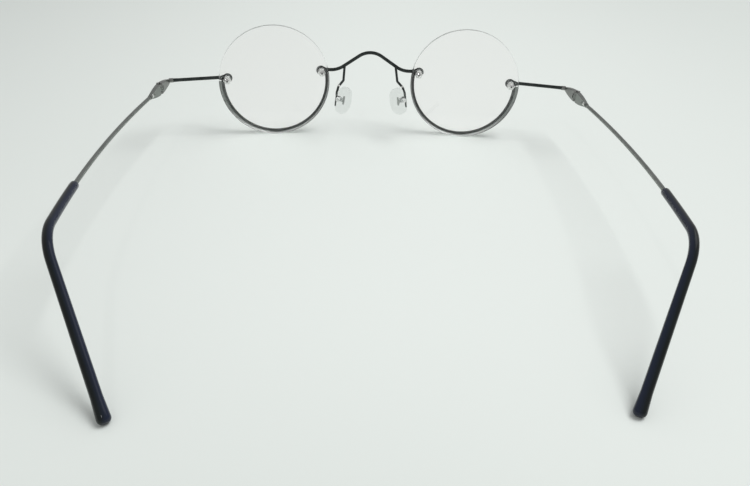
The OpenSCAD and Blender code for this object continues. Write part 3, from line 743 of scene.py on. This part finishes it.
def lens_blank():
    """The undrilled lens about its own centre."""
    outline = [(0, front_y(0))]
    for i in range(1, FACE_STEPS + 1):
        r = (LENS_R - EDGE_BEVEL) * i / FACE_STEPS
        outline.append((r, front_y(r)))
    outline.append((LENS_R, front_y(LENS_R) + EDGE_BEVEL))
    outline.append((LENS_R, back_y(LENS_R) - EDGE_BEVEL))
    for i in range(FACE_STEPS, 0, -1):
        r = (LENS_R - EDGE_BEVEL) * i / FACE_STEPS
        outline.append((r, back_y(r)))
    outline.append((0, back_y(0)))
    return turned_part(outline, "Y", LENS_STEPS)


def drill(piece, at, diameter):
    """Cuts a straight hole along Y."""
    deselect()
    bpy.ops.mesh.primitive_cylinder_add(
        vertices=40, radius=diameter / 2, depth=20, location=at, rotation=(math.pi / 2, 0, 0)
    )
    cut_away(piece, bpy.context.object)


def is_ground(spot, way):
    """The edge, its bevels and the bores."""
    return math.hypot(spot.x, spot.z) > LENS_R - EDGE_BEVEL + 0.02 or abs(way.y) < 0.2


def in_painted_rim_shade(spot, way):
    """The ring of the front face under the half rim and the edge beside it, which get the painted shade of the
    wire.
    """
    top = 2.6 if spot.x < 0 else 0.2
    out = math.hypot(spot.x, spot.z)
    return spot.z < top and (out > 17.8 or out > 17.0 and way.y < -0.5)


for side, place in SIDES.items():
    lens = lens_blank()
    drill(lens, NOSE_HOLE, HOLE_D)
    drill(lens, TEMPLE_HOLE, HOLE_D)
    smooth_by_angle(lens, 30)
    glass = [lens_glass, ground_edge, rim_shade_frost]
    settle(lens, side + "_lens_glass", place @ at_lens, "front", glass, [side + "_lens"])
    finish_where(lens, place @ at_lens, 1, is_ground)
    finish_where(lens, place @ at_lens, 2, in_painted_rim_shade)
    # Painted shade of the wire: a weight that is low in the middle and rises towards both sides, most towards the
    # temple.
    painted_wire_shade = lens.data.attributes.new("painted_wire_shade", "FLOAT", "POINT")
    back_home = (place @ at_lens).inverted()
    for i, vertex in enumerate(lens.data.vertices):
        across = (back_home @ vertex.co).x / 16
        painted_wire_shade.data[i].value = min(1, 0.1 + max(across, -0.6 * across))

# %% [markdown]
# ## Bridge
# The bridge is one piece of wire: short flat ends at the lenses, two wide bends, two straight slopes and
# a tight bend over the nose. Its points come from tangent lengths, as for any bent wire, and drawing it
# through them keeps the round section even in the bends.

# %% Draw the bridge
bridge_end = at_lens @ Vector((-WIRE_OUT, EYELET_Y, NOSE_UP))
BRIDGE_RISE = 5.9
BRIDGE_FLAT = 0.8
TOP_R = 6.65
END_R = 7.5
bend_sum = TOP_R + END_R
slope_run = bridge_end.x - BRIDGE_FLAT
slope_l = math.sqrt((BRIDGE_RISE - bend_sum) ** 2 + slope_run ** 2 - bend_sum ** 2)
slope = math.asin(slope_run / math.hypot(bend_sum, slope_l)) - math.atan2(slope_l, bend_sum)
bridge_low = slope_run - END_R * math.tan(slope / 2)
bridge_peak = bridge_end.z + BRIDGE_RISE - TOP_R + TOP_R / math.cos(slope)
y = bridge_end.y
z = bridge_end.z
left_half = [(bridge_end.x, y, z), (bridge_low, y, z)]
right_half = [(-bridge_low, y, z), (-bridge_end.x, y, z)]
bridge = bent_wire(left_half + [(0, y, bridge_peak)] + right_half, [END_R, TOP_R, END_R], WIRE_D)
smooth_by_angle(bridge, 50)
settle(bridge, "bridge_wire", standing, "front", [gunmetal], ["bridge"])

# %% [markdown]
# ## Half rims
# Each half rim hugs the lower front of a lens, from the nose fixing round to the temple fixing. It is
# wire of a lighter gauge, and its ring lies a little inside the lens edge, so the frosted edge shows
# outside it all the way. Its two ends are brazed behind the eyelets, so the wire starts and stops inside
# them.

# %% Draw the half rims
RIM_R = 17.05
RIM_SHIFT = 0.25
RIM_DROP = 0.3
RIM_D = 0.95
RIM_GAP = 0.1
SHORT_OF_HOLE = 2.2
rim_y = front_y(RIM_R - RIM_SHIFT) - RIM_D / 2 - RIM_GAP
nose_rise = math.degrees(math.asin((NOSE_UP + RIM_DROP) / RIM_R)) - SHORT_OF_HOLE
temple_rise = math.degrees(math.asin((TEMPLE_UP + RIM_DROP) / RIM_R)) - SHORT_OF_HOLE
for side, place in SIDES.items():
    ring_centre = Vector((-RIM_SHIFT, rim_y, -RIM_DROP))
    from_nose = swing("Y", -nose_rise).to_3x3() @ Vector((-1, 0, 0))
    from_nose.z = abs(from_nose.z)
    tangent = Vector((0, -1, 0)).cross(from_nose)
    start_wire(ring_centre + RIM_R * from_nose, tangent, RIM_D)
    run_bend(ring_centre, (0, -1, 0), 180 + nose_rise + temple_rise, 110)
    rim = end_wire()
    smooth_by_angle(rim, 50)
    settle(rim, side + "_half_rim_wire", place @ at_lens, "front", [gunmetal],
        [side + "_half_rim"])

# %% [markdown]
# ## Endpieces
# From each temple fixing a straight wire runs out to the hinge, dropping slightly. It is drawn in one
# straight, and its outer end is swaged a little where it enters the collar of the leaf.

# %% Draw the endpieces
FIRST_RING = 0.4
SWAGE_FROM = 13
SWAGE_TO = 14.2
SWAGE = 1.06
LEAF_END_T = 0.9
wire_l = ENDPIECE_L - LEAF_END_T / 2
for side, place in SIDES.items():
    start_wire(endpiece_start, endpiece_way, WIRE_D)
    run_straight(FIRST_RING * endpiece_way)
    run_straight((SWAGE_FROM - FIRST_RING) * endpiece_way)
    run_straight((SWAGE_TO - SWAGE_FROM) * endpiece_way)
    widen(endpiece_start + SWAGE_TO * endpiece_way, SWAGE)
    run_straight((wire_l - SWAGE_TO) * endpiece_way)
    wire = end_wire()
    smooth_by_angle(wire, 50)
    settle(wire, side + "_endpiece_wire", place @ at_lens, "front", [gunmetal],
        [side + "_endpiece"])

# %% [markdown]
# ## Eyelets
# An eyelet is the wire's end formed into a loop round the screw, with braze that widens the neck like a
# web. It was flattened and polished, so none of its edges is sharp. A soft skin over its solid gives
# exactly that.

# %% Soften the eyelets
for side in SIDES:
    for where in ("nose", "temple"):
        name = side + "_" + where + "_eyelet"
        loop = softened([name], 0.07, 3)
        settle(loop, name + "_loop", IN_PLACE, "front", [gunmetal], [name])

# %% [markdown]
# ## Lens screws
# A screw runs from a slotted pan head in front, through eyelet, washers and bushing, into the nut behind.
# The head is turned with a rounded edge, and a saw cut makes the slot. A screw seen from behind shows
# only at the nut's end.

# %% Turn the lens screws
def slot_cut(piece, at, size):
    """Saws a slot with a box."""
    deselect()
    bpy.ops.mesh.primitive_cube_add(size=1, location=at, scale=size)
    cut_away(piece, bpy.context.object)


def joined(pieces):
    """Joins pieces into one object."""
    deselect()
    for piece in pieces:
        piece.select_set(True)
    bpy.context.view_layer.objects.active = pieces[0]
    bpy.ops.object.join()
    return bpy.context.object


LENS_HEAD_H = 0.5
head_top = EYELET_FRONT - LENS_HEAD_H
screw_end = NUT_FRONT + 0.7 * NUT_H
screw_outline = [
    (0, head_top), (0.72, head_top), (0.9, head_top + 0.06), (0.985, head_top + 0.18), (1.0, EYELET_FRONT),
    (0.6, EYELET_FRONT), (0.6, screw_end - 0.1), (0.5, screw_end), (0, screw_end)
]
for side, place in SIDES.items():
    pair = []
    for hole in (NOSE_HOLE, TEMPLE_HOLE):
        screw = turned_part(screw_outline, "Y", 36)
        slot_cut(screw, (0, head_top, 0), (3, 0.5, 0.3))
        screw.data.transform(shift(*hole))
        pair.append(screw)
    screws = joined(pair)
    smooth_by_angle(screws, 35)
    settle(screws, side + "_slotted_lens_screws", place @ at_lens, "front", [steel],
        [side + "_lens_screws"])

# %% [markdown]
# ## Cap nuts
# Behind each fixing sits a small hexagon nut under a dome. The hexagon's corners are chamfered, as they
# are on any nut, and the dome springs from inside the flats. Its cuts are few and stay sharp, and a
# drill's mark is left in its middle, because such a tiny nut is cut in facets that glint. Both halves are
# modelled once and copied to the four holes.

# %% Model the cap nuts
NUT_CORNER_R = 1.27
HEXAGON_H = 0.65 * NUT_H


def cap_nut():
    """A hexagon under a dome, about the hole's axis, with its front face at the origin."""
    deselect()
    middle = (0, HEXAGON_H / 2, 0)
    turn = (math.pi / 2, math.pi / 6, 0)
    bpy.ops.mesh.primitive_cylinder_add(
        vertices=6, radius=NUT_CORNER_R, depth=HEXAGON_H, location=middle, rotation=turn
    )
    bpy.ops.object.transform_apply(location=True, rotation=True, scale=True)
    hexagon = bpy.context.object
    corners = hexagon.modifiers.new("corners", "BEVEL")
    corners.width = 0.13
    corners.segments = 2
    corners.limit_method = "ANGLE"
    corners.angle_limit = math.radians(40)
    bpy.ops.object.modifier_apply(modifier="corners")
    shell = [(0.99, 1.2), (0.99, 1.42), (0.84, 1.78), (0.5, 2.04), (0.34, NUT_H)]
    mark = [(0.24, 2.02), (0.2, 1.8), (0, 1.78)]
    return joined([hexagon, turned_part(shell + mark, "Y", 10)])


def in_mark(spot, way):
    """The floor and wall of the drill's mark in a dome."""
    off = min(math.hypot(spot.x - hole.x, spot.z - hole.z) for hole in (NOSE_HOLE, TEMPLE_HOLE))
    return off < 0.23 and spot.y > NUT_FRONT + 1.7


for side, place in SIDES.items():
    pair = []
    for hole in (NOSE_HOLE, TEMPLE_HOLE):
        nut = cap_nut()
        nut.data.transform(shift(hole.x, NUT_FRONT, hole.z))
        pair.append(nut)
    nuts = joined(pair)
    smooth_by_angle(nuts, 20)
    settle(nuts, side + "_hexagon_cap_nuts", place @ at_lens, "front", [steel, joint_shadow],
        [side + "_cap_nuts"])
    # Painted shade: the drill's mark in each dome gets the near-black finish.
    finish_where(nuts, place @ at_lens, 1, in_mark)

# %% [markdown]
# ## Washers and bushings
# Clear washers sit on both sides of the lens, and a clear bushing lines the hole. They carry the load of
# the screw on the glass. Their solids are already right, and a fine skin rounds their edges, so that they
# catch light as moulded plastic does.

# %% Soften the washers and bushings
for side in SIDES:
    for part in ("front_washers", "back_washers", "bushings"):
        name = side + "_" + part
        moulded = softened([name], 0.05, 2)
        settle(moulded, name + "_moulded", IN_PLACE, "front", [washer_clear], [name])

# %% [markdown]
# ## Nose pads
# A pad is an oval cushion of clear silicone over a small metal insert: flat behind, crowned towards the
# nose. The pad hangs from a fine wire arm with a plate and two ears, which hold the pad on its screw.
# Where the arm kinks outwards the photograph shows a bright spot, which is painted on the arm as a highlight.

# %% Model the pads
ARM_KINK = Vector((10.5, 3.8, -0.25))
PLATE_NEAR = 0.86
sideways = swing("Z", PAD_SPLAY).to_3x3() @ Vector((1, 0, 0))


def on_stem(spot, way):
    """The part of the insert between its bar and the holder."""
    return spot.x > -1.38


def on_ears(spot, way):
    """The ears and the near side of the plate, which face the pad."""
    return abs(spot.z) < 0.75 and sideways.dot(spot) < PLATE_NEAR


def on_kink_highlight(spot, way):
    """The painted highlight on the arm's kink."""
    return (spot - ARM_KINK).length < 0.55


for side, place in SIDES.items():
    body = side + "_pad"
    pad = softened([side + "_nose_pad"], 0.09, 8)
    settle(pad, side + "_silicone_pad", IN_PLACE, body, [silicone], [side + "_nose_pad"])
    core = softened([side + "_pad_core"], 0.05, 2)
    settle(core, side + "_pad_insert", IN_PLACE, body, [insert_grey, washer_clear],
        [side + "_pad_core"])
    finish_where(core, place @ at_pad, 1, on_stem)
    arm = softened([side + "_pad_arm"], 0.07, 3)
    settle(arm, side + "_pad_arm_wire", IN_PLACE, "front", [gunmetal, pale_matte, painted_glint],
        [side + "_pad_arm"])
    finish_where(arm, place @ at_pad, 1, on_ears)
    # Painted highlight: a bright spot on the arm's kink.
    finish_where(arm, place, 2, on_kink_highlight)
    tiny = softened([side + "_pad_screw"], 0.045, 2)
    settle(tiny, side + "_pad_pivot_screw", IN_PLACE, "front", [pale_matte],
        [side + "_pad_screw"])

# %% [markdown]
# ## Hinge leaves
# Each hinge is a pair of stamped titanium leaves that make one almond shape, split at the pin. The stamping and
# the barrel finishing leave every edge rounded. The front leaf has a collar for the endpiece wire, and the rear
# leaf a socket for the temple, with a bright spot beside it that is a painted highlight.

# %% Soften the leaves
def in_slot(spot, way):
    """The inside of the slot that the middle knuckle turns in."""
    return -1.75 < spot.y < 1.3 and abs(spot.z) < 0.74 and abs(spot.x) < 0.66


def on_socket_highlight(spot, way):
    """A painted highlight beside the socket, on the side that faces the head."""
    return (spot - Vector((-0.55, 7.9, 0.15))).length < 0.58


for side, place in SIDES.items():
    at_hinge = place @ shift(*pin) @ swing("Z", -OPEN_ANGLE)
    leaf = softened([side + "_front_leaf"], 0.05, 9)
    settle(leaf, side + "_front_hinge_leaf", IN_PLACE, "front", [titanium, joint_shadow],
        [side + "_front_leaf"])
    # Painted shade: the inside of the knuckle slot gets the near-black finish.
    finish_where(leaf, at_hinge, 1, in_slot)
    leaf = softened([side + "_rear_leaf"], 0.05, 9)
    settle(leaf, side + "_rear_hinge_leaf", IN_PLACE, side + "_temple", [temple_grey, painted_glint],
        [side + "_rear_leaf"])
    # Painted highlight: a bright spot beside the rear leaf's socket.
    finish_where(leaf, place @ at_pin(side), 1, on_socket_highlight)

# %% [markdown]
# ## Hinge screws
# The hinge screw is the pin that the knuckles turn on. Its head lies on the barrel with a rounded edge and a slot,
# which stands across the leaf. The slot is nearly black in the photograph, so its floor and walls get a near-black
# finish that is painted shade.

# %% Turn the hinge screws
HEAD_TOP = 1.9
SLOT_TURN = 54
shank = [(0, -1.45), (0.45, -1.45), (0.55, -1.35), (0.55, 1.45)]
head = [(0.95, 1.45), (0.95, 1.7), (0.88, 1.83), (0.7, HEAD_TOP), (0, HEAD_TOP)]


def in_screw_slot(spot, way):
    """The floor and walls of the slot in the head."""
    return abs(spot.y) < 0.2 and spot.z > 1.6


for side, place in SIDES.items():
    screw = turned_part(shank + head, "Z", 36)
    slot_cut(screw, (0, 0, HEAD_TOP), (3, 0.38, 0.5))
    smooth_by_angle(screw, 35)
    at_hinge = place @ shift(*pin) @ swing("Z", -OPEN_ANGLE - SLOT_TURN)
    settle(screw, side + "_slotted_hinge_screw", at_hinge, "front", [titanium, joint_shadow],
        [side + "_hinge_screw"])
    # Painted shade in the screw's slot.
    finish_where(screw, at_hinge, 1, in_screw_slot)

# %% [markdown]
# ## Temple wires
# A temple is one titanium wire. It leaves the socket straight, bows gently inwards along the head, and
# bends down and in behind the ear. The points are the meeting points of the straights, as on a bending
# plan.

# %% Draw the temple wires
BOW = 10.6
EAR = 43.8
EAR_IN = 30.8
EAR_R = 14.8
TEMPLE_L = 97.6
EAR_L = 38
CORE_SHORT = 6
bow_y = REAR_LEAF_L + 0.6
ear_cut = EAR_R * math.tan(math.radians(EAR / 2))
bow_l = TEMPLE_L - bow_y - ear_cut
bow_r = bow_l / math.radians(BOW)
bow_way = swing("Z", BOW).to_3x3() @ Vector((0, 1, 0))
level_in = swing("Z", BOW).to_3x3() @ Vector((-1, 0, 0))
bend_way = math.sin(math.radians(EAR_IN)) * level_in - math.cos(math.radians(EAR_IN)) * Vector((0, 0, 1))
ear_way = math.cos(math.radians(EAR)) * bow_way + math.sin(math.radians(EAR)) * bend_way
bow_cut = bow_r * math.tan(math.radians(BOW / 2))
bow_point = Vector((0, bow_y + bow_cut, 0))
ear_point = bow_point + (bow_cut + ear_cut) * bow_way
tip = ear_point + EAR_L * ear_way
wire_points = [(0, bow_y - 2, 0), bow_point, ear_point, tip - CORE_SHORT * ear_way]
for side, place in SIDES.items():
    wire = bent_wire(wire_points, [bow_r, EAR_R], WIRE_D, 0.8)
    smooth_by_angle(wire, 50)
    settle(wire, side + "_temple_drawn_wire", place @ at_pin(side), side + "_temple", [temple_grey],
        [side + "_temple_wire"])

# %% [markdown]
# ## Sleeves
# The sleeve is pushed over the wire from behind. It starts with a rounded lip, keeps its gauge round the
# ear bend, and swells to a rounded tip. It is drawn like wire, with the ring widened on the way and
# closed in steps at the tip, so the whole sleeve is one smooth skin.

# %% Draw the sleeves
SLEEVE_D = 2.1
END_D = 2.3
TIP_D = 2.7
TIP_CONE = 4
SLEEVE_START = 73.5
bow_turn = BOW * (SLEEVE_START - bow_y) / bow_l
turned_by = math.radians(bow_turn)
mouth = Vector((bow_r * math.cos(turned_by) - bow_r, bow_y + bow_r * math.sin(turned_by), 0))
mouth_way = swing("Z", bow_turn).to_3x3() @ Vector((0, 1, 0))
bow_centre = Vector((-bow_r, bow_y, 0))
bow_end = bow_point + bow_cut * bow_way
ear_inward = (ear_way - ear_way.dot(bow_way) * bow_way).normalized()
ear_centre = bow_end + EAR_R * ear_inward
bend_end = ear_point + ear_cut * ear_way
tail = (tip - bend_end).length - TIP_CONE


def grow(at, diameter, target):
    """Takes the end ring from one diameter to another and returns the new one."""
    widen(at, target / diameter)
    return target


for side, place in SIDES.items():
    lip = mouth + 0.02 * mouth_way
    start_wire(lip, mouth_way, 1.5)
    d = 1.5
    run_straight(0 * mouth_way)
    d = grow(lip, d, 1.85)
    run_straight(0.07 * mouth_way)
    d = grow(mouth + 0.09 * mouth_way, d, 2.02)
    run_straight(0.15 * mouth_way)
    d = grow(mouth + 0.24 * mouth_way, d, SLEEVE_D)
    run_bend(bow_centre, (0, 0, 1), BOW - bow_turn, 12)
    run_bend(ear_centre, bow_way.cross(ear_way).normalized(), EAR, 40)
    for i in range(1, 7):
        run_straight(tail / 6 * ear_way)
        d = grow(bend_end + tail * i / 6 * ear_way, d, SLEEVE_D + (END_D - SLEEVE_D) * i / 6)
    for i in range(1, 5):
        run_straight(TIP_CONE / 4 * ear_way)
        d = grow(tip - (TIP_CONE - i) * ear_way, d, END_D + (TIP_D - END_D) * i / 4)
    for i in range(1, 9):
        rise = math.radians(11 * i)
        before = math.radians(11 * (i - 1))
        run_straight(TIP_D / 2 * (math.sin(rise) - math.sin(before)) * ear_way)
        d = grow(tip + TIP_D / 2 * math.sin(rise) * ear_way, d, TIP_D * math.cos(rise))
    sleeve = end_wire()
    smooth_by_angle(sleeve, 60)
    settle(sleeve, side + "_dark_sleeve", place @ at_pin(side), side + "_temple", [sleeve_finish],
        [side + "_temple_sleeve"])
    inner_side = sleeve.data.attributes.new("inner_side", "FLOAT", "POINT")
    inward = -1 if side == "left" else 1
    for i, vertex in enumerate(sleeve.data.vertices):
        inner_side.data[i].value = min(1, max(0, 0.15 + 1.3 * inward * vertex.normal.x))

# %% Update the scene
bpy.context.view_layer.update()
